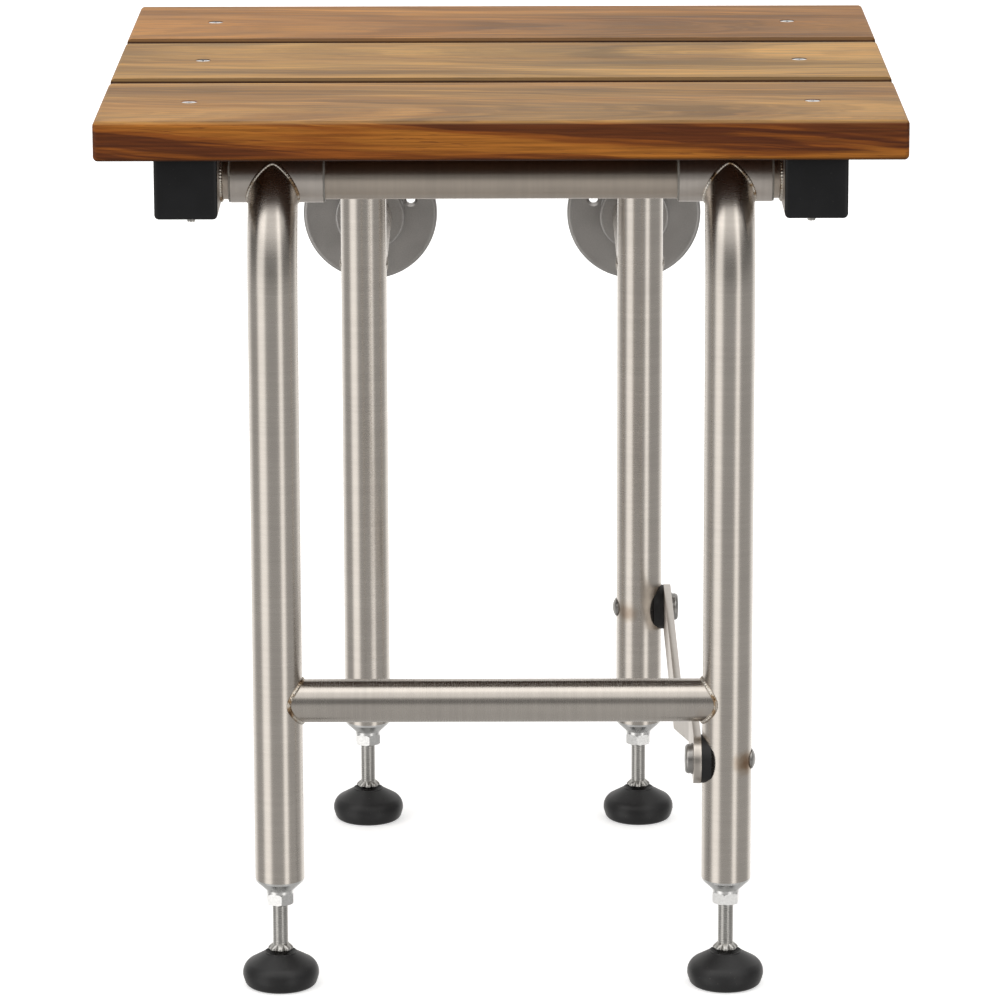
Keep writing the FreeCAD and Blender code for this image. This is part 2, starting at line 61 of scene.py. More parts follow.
LEG_R = size("front_leg_left").x / 2
BAR_R = size("front_crossbar").z / 2
SLEEVE_SETBACK = middle("front_sleeve_left").y - middle("insert_front_left").y
LEAN = math.radians(54)       # of the legs' tops from upright, where the bend ends
BEND_R = SLEEVE_SETBACK / (1 - math.cos(LEAN))
CROSSBAR_Z = middle("front_crossbar").z


def leg_axis(end, side):
    """A point on a leg's vertical centreline, at floor level."""
    insert = middle("insert_{}_{}".format(end, side))
    return Vector((insert.x, insert.y, 0))


# ---------------------------------------------------------------- node helpers

def add(tree, kind, inputs=None, **settings):
    node = tree.nodes.new(kind)
    for key, value in settings.items():
        setattr(node, key, value)
    for key, value in (inputs or {}).items():
        socket = node.inputs[key]
        if isinstance(value, bpy.types.NodeSocket):
            tree.links.new(value, socket)
        else:
            socket.default_value = value
    return node


def calc(tree, operation, a, b=0.0):
    return add(tree, "ShaderNodeMath", {0: a, 1: b}, operation=operation).outputs[0]


def spread(tree, value, low, high, out_low=0.0, out_high=1.0):
    """A smooth step from out_low to out_high as the value goes from low to high."""
    inputs = {"Value": value, "From Min": low, "From Max": high}
    inputs.update({"To Min": out_low, "To Max": out_high})
    return add(tree, "ShaderNodeMapRange", inputs, interpolation_type="SMOOTHSTEP").outputs[0]


def blend(tree, factor, a, b, mode="MIX"):
    """Mixes two colours."""
    node = add(tree, "ShaderNodeMix", {0: factor}, data_type="RGBA", blend_type=mode)
    for index, value in ((6, a), (7, b)):
        if isinstance(value, bpy.types.NodeSocket):
            tree.links.new(value, node.inputs[index])
        else:
            node.inputs[index].default_value = (*value, 1)
    return node.outputs[2]


def scaled(tree, vector, factors):
    return add(tree, "ShaderNodeVectorMath", {0: vector, 1: factors}, operation="MULTIPLY").outputs[0]


def moved(tree, vector, offset):
    return add(tree, "ShaderNodeVectorMath", {0: vector, 1: offset}, operation="ADD").outputs[0]


def noise(tree, vector, scale=1.0, detail=3.0, roughness=0.5):
    inputs = {"Vector": vector, "Scale": scale, "Detail": detail, "Roughness": roughness}
    return add(tree, "ShaderNodeTexNoise", inputs).outputs["Fac"]


def ramp(tree, value, stops):
    node = add(tree, "ShaderNodeValToRGB", {"Fac": value})
    elements = node.color_ramp.elements
    while len(elements) < len(stops):
        elements.new(0.5)
    for element, (place, colour) in zip(elements, stops):
        element.position = place
        element.color = (*colour, 1)
    return node.outputs["Color"]


def dimmed(tree, colour, shade):
    """A colour multiplied by one shade."""
    tint = add(tree, "ShaderNodeCombineColor", {0: shade, 1: shade, 2: shade}).outputs[0]
    return blend(tree, 1.0, colour, tint, "MULTIPLY")


def bump(tree, height, distance, strength):
    inputs = {"Height": height, "Distance": distance, "Strength": strength}
    return add(tree, "ShaderNodeBump", inputs).outputs["Normal"]


def new_material(name):
    material = bpy.data.materials.new(name)
    material.use_nodes = True
    tree = material.node_tree
    return material, tree, tree.nodes["Principled BSDF"]


def set_inputs(tree, node, inputs):
    for key, value in inputs.items():
        if isinstance(value, bpy.types.NodeSocket):
            tree.links.new(value, node.inputs[key])
        else:
            node.inputs[key].default_value = value


# ---------------------------------------------------------------- materials

def place_of(tree):
    return add(tree, "ShaderNodeTexCoord").outputs["Object"]


# Near-black brown used as painted shade under and between the slats, partly also damp wood.
SHADE_AND_DAMP_WOOD = (0.030, 0.012, 0.005)
HEAT_HALO = (0.40, 0.27, 0.15)
HEAT_CORE = (0.20, 0.085, 0.035)
DUST = (0.30, 0.28, 0.26)


def growth(tree, ring, along, fineness, drift, seed, detail, roughness):
    """Noise in layers round the pith that change slowly along the board."""
    place = add(tree, "ShaderNodeCombineXYZ", {
        0: calc(tree, "MULTIPLY", ring, fineness),
        1: calc(tree, "MULTIPLY", along, drift),
        2: seed,
    })
    return noise(tree, place.outputs[0], detail=detail, roughness=roughness)


def teak(name, slat, seed, pith, tilt, dark, mid, light, weathered, weathering, gap_faces):
    """Teak sawn along X. Growth bands follow circles about the pith, a line along X that
    lies off the board at (y, z) from its middle and drifts by tilt along the board. Gap_faces
    are the signs of Y of the faces that look into a gap."""
    material, tree, shader = new_material(name)
    here = moved(tree, place_of(tree), -middle(slat))
    split = add(tree, "ShaderNodeSeparateXYZ", {0: here})
    x, y, z = split.outputs
    slow = noise(tree, moved(tree, scaled(tree, here, (4.5, 16, 16)), (seed, 0, 0)), detail=2)
    slow2 = noise(tree, moved(tree, scaled(tree, here, (11, 45, 45)), (seed, 7, 0)), detail=3)
    wander = calc(tree, "MULTIPLY", calc(tree, "SUBTRACT", slow, 0.5), 0.030)
    wander2 = calc(tree, "MULTIPLY", calc(tree, "SUBTRACT", slow2, 0.5), 0.007)
    across = calc(tree, "ADD", calc(tree, "SUBTRACT", y, pith[0]), wander)
    up = calc(tree, "SUBTRACT", z, pith[1])
    up = calc(tree, "ADD", up, calc(tree, "MULTIPLY", x, tilt))
    up = calc(tree, "ADD", up, wander2)
    squares = calc(tree, "ADD", calc(tree, "POWER", across, 2.0), calc(tree, "POWER", up, 2.0))
    ring = calc(tree, "SQRT", squares)
    bands = growth(tree, ring, x, 110.0, 3.5, seed, 3, 0.55)
    lines = growth(tree, ring, x, 620.0, 9.0, seed + 3, 4, 0.6)
    bold = growth(tree, ring, x, 95.0, 4.5, seed + 9, 2, 0.6)
    fibre = noise(tree, scaled(tree, here, (16, 760, 760)), detail=4, roughness=0.65)
    pores = noise(tree, scaled(tree, here, (70, 1700, 1700)), detail=2, roughness=0.5)
    tone = calc(tree, "ADD", calc(tree, "MULTIPLY", bands, 0.58), calc(tree, "MULTIPLY", lines, 0.42))
    wood = ramp(tree, tone, [(0.38, dark), (0.455, mid), (0.52, mid), (0.60, light)])
    wood = blend(tree, spread(tree, bold, 0.51, 0.40, 0.0, 0.85), wood, light)
    wood = blend(tree, spread(tree, bold, 0.56, 0.61, 0.0, 0.85), wood, dark)
    streak = spread(tree, fibre, 0.36, 0.64, 0.74, 1.20)
    wood = dimmed(tree, wood, streak)
    pits = spread(tree, pores, 0.64, 0.72)
    wood = blend(tree, calc(tree, "MULTIPLY", pits, 0.45), wood, dark)

    # The top is dry and sun-bleached: paler and more even.
    normal = add(tree, "ShaderNodeTexCoord").outputs["Normal"]
    facing_up = add(tree, "ShaderNodeSeparateXYZ", {0: normal}).outputs[2]
    exposed = spread(tree, facing_up, 0.35, 0.95)
    patchy = noise(tree, scaled(tree, here, (7, 40, 40)), detail=3)
    worn = spread(tree, patchy, 0.3, 0.7, weathering - 0.12, weathering + 0.1)
    dry = calc(tree, "MULTIPLY", exposed, worn)
    pale = ramp(tree, tone, [(0.40, [c * 0.62 for c in weathered]), (0.50, weathered),
                             (0.60, [min(1, c * 1.45) for c in weathered])])
    pale = dimmed(tree, pale, streak)
    colour = blend(tree, dry, wood, pale)
    # Painted shade: the underside and the faces inside the gaps are blended towards a near-black brown
    # that stands in for the shade under and between the slats, partly also damp wood.
    colour = blend(tree, spread(tree, facing_up, -0.3, -0.9, 0.0, 0.85), colour, SHADE_AND_DAMP_WOOD)
    facing_back = add(tree, "ShaderNodeSeparateXYZ", {0: normal}).outputs[1]
    for sign in gap_faces:
        gap_shade = spread(tree, calc(tree, "MULTIPLY", facing_back, sign), 0.12, 0.6)
        colour = blend(tree, calc(tree, "MULTIPLY", gap_shade, 0.88), colour, SHADE_AND_DAMP_WOOD)
    # Worn arrises show a thin lighter line between the top and the sides.
    below = spread(tree, facing_up, 0.95, 0.7)
    arris = calc(tree, "MULTIPLY", spread(tree, facing_up, 0.25, 0.55), below)
    rubbed = [min(1, c * 1.25) for c in weathered]
    colour = blend(tree, calc(tree, "MULTIPLY", arris, 0.35), colour, rubbed)
    grain = calc(tree, "ADD", calc(tree, "MULTIPLY", fibre, 0.6), calc(tree, "MULTIPLY", lines, 0.5))
    grain = calc(tree, "SUBTRACT", grain, calc(tree, "MULTIPLY", pits, 0.5))
    set_inputs(tree, shader, {
        "Base Color": colour,
        "Roughness": spread(tree, fibre, 0.3, 0.7, 0.46, 0.62),
        "Normal": bump(tree, grain, 0.00022, 0.6),
        "Specular IOR Level": 0.32,
    })
    return material


def stainless(name, axis, colour=(0.635, 0.59, 0.54), roughness=0.27, stains=(), brush=0.5):
    """Brushed stainless tube. The brush marks run round the axis, so highlights stretch along it.
    Stains are (centre, radius, strength) heat marks in warm brown."""
    material, tree, shader = new_material(name)
    here = place_of(tree)
    along = {"X": (2600, 60, 60), "Y": (60, 2600, 60), "Z": (60, 60, 2600)}[axis]
    marks = noise(tree, scaled(tree, here, along), detail=3, roughness=0.7)
    mottle = noise(tree, scaled(tree, here, [f / 60 for f in along]), scale=9.0, detail=4)
    smudge = noise(tree, here, scale=38.0, detail=4, roughness=0.6)
    shade = spread(tree, marks, 0.25, 0.75, 0.99, 1.01)
    shade = calc(tree, "ADD", shade, spread(tree, smudge, 0.3, 0.7, -0.03, 0.03))
    shade = calc(tree, "ADD", shade, spread(tree, mottle, 0.3, 0.7, -0.03, 0.03))
    metal = dimmed(tree, colour, shade)
    dull = spread(tree, marks, 0.2, 0.8, roughness - 0.01, roughness + 0.01)
    dull = calc(tree, "ADD", dull, spread(tree, smudge, 0.35, 0.75, -0.004, 0.012))
    for centre, radius, strength in stains:
        offset = add(tree, "ShaderNodeVectorMath", {0: here, 1: centre}, operation="DISTANCE")
        edge = calc(tree, "ADD", offset.outputs["Value"],
                    calc(tree, "MULTIPLY", calc(tree, "SUBTRACT", smudge, 0.5), radius * 1.3))
        halo = spread(tree, edge, radius, radius * 0.35)
        core = spread(tree, edge, radius * 0.7, radius * 0.2)
        metal = blend(tree, calc(tree, "MULTIPLY", halo, strength), metal, HEAT_HALO)
        metal = blend(tree, calc(tree, "MULTIPLY", core, strength), metal, HEAT_CORE)
        dull = calc(tree, "ADD", dull, calc(tree, "MULTIPLY", halo, 0.12))
    inputs = {
        "Base Color": metal,
        "Metallic": 1.0,
        "Roughness": dull,
        "Anisotropic": brush,
        "Anisotropic Rotation": 0.25,
        "Normal": bump(tree, marks, 0.00002, 0.04),
    }
    if brush:
        tangent = add(tree, "ShaderNodeTangent", direction_type="RADIAL", axis=axis)
        inputs["Tangent"] = tangent.outputs[0]
    set_inputs(tree, shader, inputs)
    return material


def cast_metal(name, colour, roughness, grain, bump_size=0.00006):
    """Metal with a fine all-over grain: blasted plates, fasteners and plated plugs."""
    material, tree, shader = new_material(name)
    here = place_of(tree)
    fine = noise(tree, here, scale=grain, detail=4, roughness=0.65)
    broad = noise(tree, here, scale=grain * 0.04, detail=3)
    shade = spread(tree, fine, 0.25, 0.75, 0.90, 1.08)
    shade = calc(tree, "ADD", shade, spread(tree, broad, 0.3, 0.7, -0.08, 0.06))
    set_inputs(tree, shader, {
        "Base Color": dimmed(tree, colour, shade),
        "Metallic": 1.0,
        "Roughness": spread(tree, broad, 0.25, 0.75, roughness - 0.05, roughness + 0.07),
        "Normal": bump(tree, fine, bump_size, 0.35),
    })
    return material


def weld_metal(name):
    """Weld bead: bright crests, straw and brown heat colours in patches."""
    material, tree, shader = new_material(name)
    here = place_of(tree)
    heat = noise(tree, here, scale=160.0, detail=3)
    fine = noise(tree, here, scale=1400.0, detail=3)
    colour = ramp(tree, heat, [(0.30, (0.78, 0.74, 0.68)), (0.50, (0.66, 0.61, 0.54)),
                               (0.60, (0.36, 0.25, 0.15)), (0.70, (0.12, 0.07, 0.04))])
    set_inputs(tree, shader, {
        "Base Color": colour,
        "Metallic": 1.0,
        "Roughness": spread(tree, fine, 0.3, 0.7, 0.22, 0.42),
        "Normal": bump(tree, fine, 0.00008, 0.5),
    })
    return material


def plastic(name, colour, roughness, grain, dust=0.0):
    """Moulded plastic or rubber with a fine texture and a trace of dust in fine specks."""
    material, tree, shader = new_material(name)
    here = place_of(tree)
    fine = noise(tree, here, scale=grain, detail=4, roughness=0.6)
    broad = noise(tree, here, scale=70.0, detail=4)
    shade = spread(tree, broad, 0.3, 0.7, 0.85, 1.15)
    base = dimmed(tree, colour, shade)
    specks = spread(tree, noise(tree, here, scale=900.0, detail=2), 0.70, 0.76)
    base = blend(tree, calc(tree, "MULTIPLY", specks, dust), base, DUST)
    set_inputs(tree, shader, {
        "Base Color": base,
        "Roughness": spread(tree, broad, 0.25, 0.75, roughness - 0.05, roughness + 0.06),
        "Normal": bump(tree, fine, 0.00007, 0.45),
        "Specular IOR Level": 0.4,
    })
    return material


# ---------------------------------------------------------------- mesh helpers

def rings_to_mesh(rings, verts, faces, cap_start=True, cap_end=True):
    """Skins a list of equal closed rings of points, adding to verts and faces."""
    base = len(verts)
    count = len(rings[0])
    for ring in rings:
        verts.extend(ring)
    for row in range(len(rings) - 1):
        low = base + row * count
        for i in range(count):
            j = (i + 1) % count
            faces.append((low + i, low + j, low + count + j, low + count + i))
    if cap_start:
        faces.append(tuple(base + i for i in reversed(range(count))))
    if cap_end:
        last = base + (len(rings) - 1) * count
        faces.append(tuple(last + i for i in range(count)))


def turned_rings(profile, centre, steps, shape=None):
    """Rings of a turned form about a vertical axis. Shape can change a radius by angle and height."""
    rings = []
    for radius, z in profile:
        ring = []
        for i in range(steps):
            angle = 2 * math.pi * i / steps
            r = radius if shape is None else shape(radius, angle, z)
            ring.append(centre + Vector((r * math.cos(angle), r * math.sin(angle), z)))
        rings.append(ring)
    return rings


def make_piece(name, verts, faces, material, body, replaces=(), sharp=35):
    mesh = bpy.data.meshes.new(name)
    mesh.from_pydata([tuple(v) for v in verts], [], faces)
    work = bmesh.new()
    work.from_mesh(mesh)
    bmesh.ops.recalc_face_normals(work, faces=work.faces)
    work.to_mesh(mesh)
    work.free()
    mesh.shade_smooth()
    mesh.set_sharp_from_angle(angle=math.radians(sharp))
    mesh.materials.append(material)
    piece = bpy.data.objects.new(name, mesh)
    bpy.context.scene.collection.objects.link(piece)
    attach(piece, body)
    if replaces:
        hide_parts(*replaces)
    return piece


def softened(name, node, width, material, body):
    """A copy of a CAD piece with its hard edges rounded off."""
    mesh = NODES[node].data.copy()
    work = bmesh.new()
    work.from_mesh(mesh)
    bmesh.ops.remove_doubles(work, verts=work.verts, dist=1e-6)
    bmesh.ops.dissolve_limit(work, angle_limit=math.radians(0.6), verts=work.verts, edges=work.edges)
    hard = [e for e in work.edges if len(e.link_faces) == 2 and e.calc_face_angle() > math.radians(40)]
    bmesh.ops.bevel(work, geom=hard, offset=width, segments=2, profile=0.5, affect="EDGES",
                    clamp_overlap=True)
    clean = bpy.data.meshes.new(name)
    work.to_mesh(clean)
    work.free()
    clean.shade_smooth()
    clean.set_sharp_from_angle(angle=math.radians(30))
    clean.materials.append(material)
    piece = bpy.data.objects.new(name, clean)
    bpy.context.scene.collection.objects.link(piece)
    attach(piece, body)
    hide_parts(node)
    return piece


# ---------------------------------------------------------------- weld beads

RIPPLE = 1.5 * MM
CROSSBAR_BEAD = 1.05 * MM
ARM_BEAD = 0.75 * MM          # slim, so that the folded link bar passes it
SLEEVE_BEAD = 0.95 * MM
RAIL_BEAD = 1.4 * MM
CROWN = 0.04                  # how far a sleeve's seam is rounded off at its top


def bead(name, seam, centre, radius, material, body, seed):
    """A rippled weld bead along a closed seam round a joint."""
    rng = random.Random(seed)
    around = 10
    waves = [(rng.uniform(0.02, 0.05), rng.uniform(0, math.tau), k) for k in (2, 3, 5, 9)]
    length = sum((seam[i] - seam[i - 1]).length for i in range(len(seam)))
    run = 0.0
    rings = []
    for i, point in enumerate(seam):
        ahead = seam[(i + 1) % len(seam)] - seam[i - 1]
        ahead.normalize()
        out = point - centre
        out -= ahead * out.dot(ahead)
        out.normalize()
        side = ahead.cross(out)
        turn = math.tau * run / length
        swell = 1 + 0.16 * abs(math.sin(math.pi * run / RIPPLE))
        swell += sum(a * math.sin(k * turn + p) for a, p, k in waves)
        r = radius * swell
        rings.append([point + (out * math.cos(t) + side * math.sin(t)) * r
                      for t in (math.tau * k / around for k in range(around))])
        run += (seam[(i + 1) % len(seam)] - point).length
    verts = []
    faces = []
    rings_to_mesh(rings + rings[:1], verts, faces, False, False)
    return make_piece(name, verts, faces, material, body, sharp=60)


def cylinder_seam(origin, axis, across, radius, reach, count=300):
    """Where a tube of this radius meets another surface. Reach(side, up) gives how far along
    the axis the seam lies, for a point round the tube."""
    up = axis.cross(across)
    points = []
    for i in range(count):
        angle = math.tau * i / count
        c, s = math.cos(angle), math.sin(angle)
        points.append(origin + (across * c + up * s) * radius + axis * reach(c, s))
    return points


def add_welds(material):
    for index, side in enumerate(SIDES):
        sign = -1 if side == "left" else 1
        axis = leg_axis("front", side)
        joint = Vector((axis.x, axis.y, CROSSBAR_Z))
        inward = Vector((-sign, 0, 0))
        seam = cylinder_seam(joint, inward, Vector((0, 1, 0)), BAR_R,
                             lambda c, s: math.sqrt(LEG_R ** 2 - (BAR_R * c) ** 2))
        bead("weld_crossbar_" + side, seam, joint + inward * LEG_R, CROSSBAR_BEAD, material,
             "front_legs", 11 + index)

        arm = Vector((leg_axis("rear", side).x, leg_axis("rear", side).y, middle("wall_arm_left").z))
        seam = cylinder_seam(arm, Vector((0, 1, 0)), Vector((1, 0, 0)), LEG_R,
                             lambda c, s: LEG_R * abs(s))
        bead("weld_arm_" + side, seam, arm + Vector((0, LEG_R * 0.6, 0)), ARM_BEAD, material,
             "wall_frame", 21 + index)

        for end, body in (("front", "front_legs"), ("rear", "wall_frame")):
            sleeve = middle("{}_sleeve_{}".format(end, side))
            top = Vector((leg_axis(end, side).x, sleeve.y, sleeve.z))
            down = Vector((0, -math.sin(LEAN), -math.cos(LEAN)))
            seam = cylinder_seam(top, down, Vector((1, 0, 0)), LEG_R,
                                 lambda c, s: LEG_R * math.sqrt(c * c + CROWN))
            inside = Vector((0, math.cos(LEAN), -math.sin(LEAN)))
            seam = [point + inside * ((point - top).dot(down) ** 2 / (2 * BEND_R)) for point in seam]
            bead("weld_{}_sleeve_{}".format(end, side), seam, top + down * LEG_R * 0.5, SLEEVE_BEAD,
                 material, body, 31 + index)
            tube = end + "_cross_tube"
            face = Vector((sign * size(tube).x / 2, middle(tube).y, middle(tube).z))
            seam = cylinder_seam(face, Vector((1, 0, 0)), Vector((0, 1, 0)), BAR_R, lambda c, s: 0)
            bead("weld_{}_rail_{}".format(end, side), seam, face, RAIL_BEAD, material, "seat", 41 + index)


# ---------------------------------------------------------------- end caps

def rounded_square(cx, cz, y, half, corner, steps=6):
    ring = []
    for quarter in range(4):
        start = math.pi / 2 * quarter
        sx = 1 if quarter in (0, 3) else -1
        sz = 1 if quarter in (0, 1) else -1
        for i in range(steps + 1):
            a = start + math.pi / 2 * i / steps
            ring.append(Vector((cx + sx * (half - corner) + corner * math.cos(a), y,
                                cz + sz * (half - corner) + corner * math.sin(a))))
    return ring


def end_cap(name, outer, inner, material):
    """A cover plate with a softened, faintly crowned face, and its ribbed plug. Stations are
    (depth behind the face, half width, corner radius)."""
    low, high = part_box(name)
    cx, cz = (low.x + high.x) / 2, (low.z + high.z) / 2
    half = (high.x - low.x) / 2
    inward = 1 if inner > outer else -1
    plate = 3.0 * MM
    plug_half = half - 2.1 * MM
    stations = [
        (0.0, half - 5 * MM, 1.6 * MM),
        (0.10 * MM, half - 2 * MM, 1.9 * MM),
        (0.28 * MM, half - 0.8 * MM, 2.1 * MM),
        (0.55 * MM, half - 0.3 * MM, 2.3 * MM),
        (1.0 * MM, half, 2.4 * MM),
        (plate, half, 2.4 * MM),
        (plate, plug_half, 1.0 * MM),
        (plate + 3 * MM, plug_half, 1.0 * MM),
    ]
    for rib in range(3):
        start = plate + (3 + 3 * rib) * MM
        groove = plug_half - 0.6 * MM
        stations += [(start, groove, 0.8 * MM), (start + 1.2 * MM, groove, 0.8 * MM),
                     (start + 1.2 * MM, plug_half, 1.0 * MM), (start + 2.6 * MM, plug_half, 1.0 * MM)]
    rings = [rounded_square(cx, cz, outer + inward * d, h, c) for d, h, c in stations]
    verts = []
    faces = []
    rings_to_mesh(rings, verts, faces)
    make_piece(name + "_moulded", verts, faces, material, "seat", (name,), sharp=50)


# ---------------------------------------------------------------- feet

BALL_Z = 12.2 * MM
BALL_R = 4.8 * MM


def arc(cx, cz, radius, start, end, steps):
    """Profile points (r, z) round an arc, angles in degrees."""
    turns = [math.radians(start + (end - start) * i / steps) for i in range(steps + 1)]
    return [(cx + radius * math.cos(t), cz + radius * math.sin(t)) for t in turns]


FOOT_EDGE_R = 3.6 * MM
FOOT_EDGE_IN = 4.4 * MM
FOOT_SHOULDER_R = 7.4 * MM
FOOT_WIDEST_Z = 7.0 * MM
SOCKET_GAP = 0.08 * MM


def foot_base(end, side, material):
    """A round black base: flat below, widest a third of the way up, then a cone to the socket."""
    node = "foot_base_{}_{}".format(end, side)
    centre = middle(node)
    centre.z = 0
    wide = size(node).x / 2
    top = size(node).z
    profile = [(0.2 * MM, 0.6 * MM), (wide - 7 * MM, 0.6 * MM), (wide - 6.6 * MM, 0)]
    profile += [(wide - FOOT_EDGE_IN, 0)]
    profile += arc(wide - FOOT_EDGE_IN, FOOT_EDGE_R, FOOT_EDGE_R, -90, -28, 8)
    profile += [(wide - 0.45 * MM, 4.2 * MM), (wide, 6.0 * MM), (wide, FOOT_WIDEST_Z)]
    profile += arc(wide - FOOT_SHOULDER_R, FOOT_WIDEST_Z, FOOT_SHOULDER_R, 4, 52, 9)
    profile += [(8.5 * MM, top - 0.55 * MM)] + arc(8.0 * MM, top - 0.5 * MM, 0.5 * MM, 50, 150, 5)
    profile += [(7.1 * MM, top - 0.75 * MM), (3.95 * MM, top - 2.75 * MM)]
    profile += arc(0, BALL_Z, BALL_R + SOCKET_GAP, 38, -88, 14)
    verts = []
    faces = []
    rings_to_mesh(turned_rings(profile, centre, 96), verts, faces)
    body = "foot_{}_{}".format(end, side)
    make_piece(node + "_moulded", verts, faces, material, body, (node,))


THREAD_PITCH = 1.25 * MM
THREAD_DEPTH = 0.15 * MM
STUD_R = 4.0 * MM
PETALS = 8


def stud(end, side, material):
    """Levelling stud with a shallow thread, a petalled collar, a neck and a ball."""
    node = "stud_{}_{}".format(end, side)
    low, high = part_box(node)
    centre = (low + high) / 2
    centre.z = 0

    def thread(radius, angle, z):
        phase = (z / THREAD_PITCH - angle / math.tau) % 1.0
        ridge = min(1.0, max(0.0, 2.6 * abs(phase - 0.5) - 0.15))
        return radius - THREAD_DEPTH * ridge

    star_bottom = BALL_Z + 5.9 * MM
    star_top = BALL_Z + 10.4 * MM
    rows = int((high.z - star_top) / (THREAD_PITCH / 6))
    run = high.z - star_top
    bar = [(STUD_R, star_top - 0.5 * MM + run * i / rows) for i in range(rows)]
    bar += [(STUD_R - 0.4 * MM, high.z - 0.6 * MM), (STUD_R - 0.9 * MM, high.z)]
    verts = []
    faces = []
    rings_to_mesh(turned_rings(bar, centre, 30, thread), verts, faces)

    def petal(radius, angle, z):
        rise = max(0.0, min(1.0, (z - star_bottom) / (star_top - star_bottom)))
        swell = abs(math.cos(PETALS / 2 * angle)) ** 0.55
        return radius * (1 - 0.30 * math.sin(math.pi * min(1.0, rise * 1.05)) * (1 - swell))

    star = [(3.0, 5.4), (3.9, 5.9), (5.1, 6.4), (6.1, 7.0), (6.55, 7.6), (6.5, 8.2), (6.0, 8.9),
            (5.2, 9.6), (4.5, 10.1), (4.0, 10.4), (3.3, 10.5)]
    profile = [(r * MM, BALL_Z + z * MM) for r, z in star]
    rings_to_mesh(turned_rings(profile, centre, 128, petal), verts, faces)
    neck = [(3.0 * MM, BALL_Z + 5.7 * MM), (3.0 * MM, BALL_Z + 3.9 * MM)]
    neck += arc(0, BALL_Z, BALL_R, 51, -88, 14)
    rings_to_mesh(turned_rings(neck, centre, 48), verts, faces)
    make_piece(node + "_threaded", verts, faces, material, node, (node,), sharp=50)


def screw_threads(material):
    """Thread ridges on the exposed tips of the slat screws."""
    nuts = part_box("slat_nuts")
    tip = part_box("slat_screws")[0].z
    half_x = (nuts[1].x - 4.0 * MM)
    rows_y = [middle(name).y for name in ("slat_front", "slat_middle", "slat_rear")]
    pitch = 0.7 * MM

    def thread(radius, angle, z):
        phase = (z / pitch - angle / math.tau) % 1.0
        return radius + 0.13 * MM * max(0.0, 1 - 3.2 * abs(phase - 0.5))

    verts = []
    faces = []
    span = nuts[0].z - tip
    rows = int(span / (pitch / 6))
    for y in rows_y:
        for x in (-half_x, half_x):
            profile = [(1.55 * MM, tip)]
            start = tip + 0.35 * MM
            profile += [(2.01 * MM, start + (span - 0.3 * MM) * i / rows) for i in range(rows + 1)]
            rings_to_mesh(turned_rings(profile, Vector((x, y, 0)), 24, thread), verts, faces)
    make_piece("slat_screw_threads", verts, faces, material, "seat", sharp=60)


# ---------------------------------------------------------------- assembly

def link_stains():
    """Brown marks on the right legs below the link's bolts and nuts."""
    front = middle("front_link_nut")
    rear = middle("rear_link_nut")
    front_leg = leg_axis("front", "right")
    rear_leg = leg_axis("rear", "right")
    return (
        [(Vector((front.x - 4 * MM, front_leg.y - 6 * MM, front.z)), 9 * MM, 0.8),
         (Vector((front_leg.x - 12 * MM, front_leg.y - 6 * MM, front.z)), 6 * MM, 0.5)],
        [(Vector((rear.x + 4 * MM, rear_leg.y - 6 * MM, rear.z)), 9 * MM, 0.5)],
    )


def weld_stains(side):
    leg = leg_axis("front", side)
    inward = 1 if side == "left" else -1
    strength = 0.5 if side == "left" else 0.25
    return [(Vector((leg.x + inward * LEG_R, leg.y - 5 * MM, CROSSBAR_Z - 3 * MM)), 6 * MM, strength)]


def paint(names, material):
    for name in names:
        mesh = NODES[name].data
        for index in range(len(mesh.materials)):
            mesh.materials[index] = material


